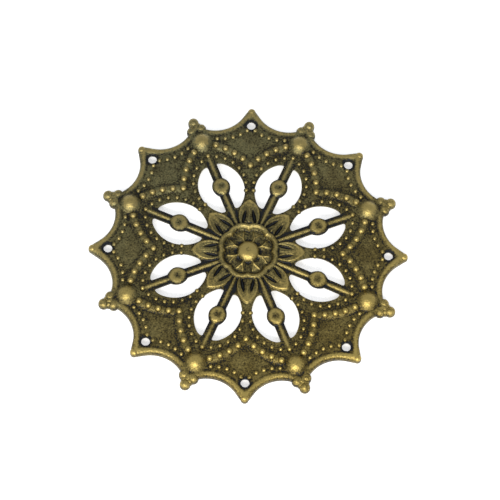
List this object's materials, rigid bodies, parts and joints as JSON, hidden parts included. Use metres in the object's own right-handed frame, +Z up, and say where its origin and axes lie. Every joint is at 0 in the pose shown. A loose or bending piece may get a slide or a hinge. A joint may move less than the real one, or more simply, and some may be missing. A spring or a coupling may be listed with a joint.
{
  "type": "filigree stamping",
  "caption": "Round pierced metal filigree stamping with a scalloped rolled edge, raised beads and domes, a leaf rosette and small fixing holes; jewellery finding.",
  "frame": {"origin": "centre of the stamping on the flat surface that it rests on", "axes": "+Z up, out of the relief side; +Y through a fixing hole; every eighth of a turn about Z repeats the form"},
  "size_m": [0.0432, 0.0432, 0.0019],
  "materials": {
    "antique_bronze": "antique bronze plating: dark in the hollows, rubbed bright on the raised parts"
  },
  "bodies": {
    "root": {"stamping": "antique_bronze"}
  },
  "joints": []
}
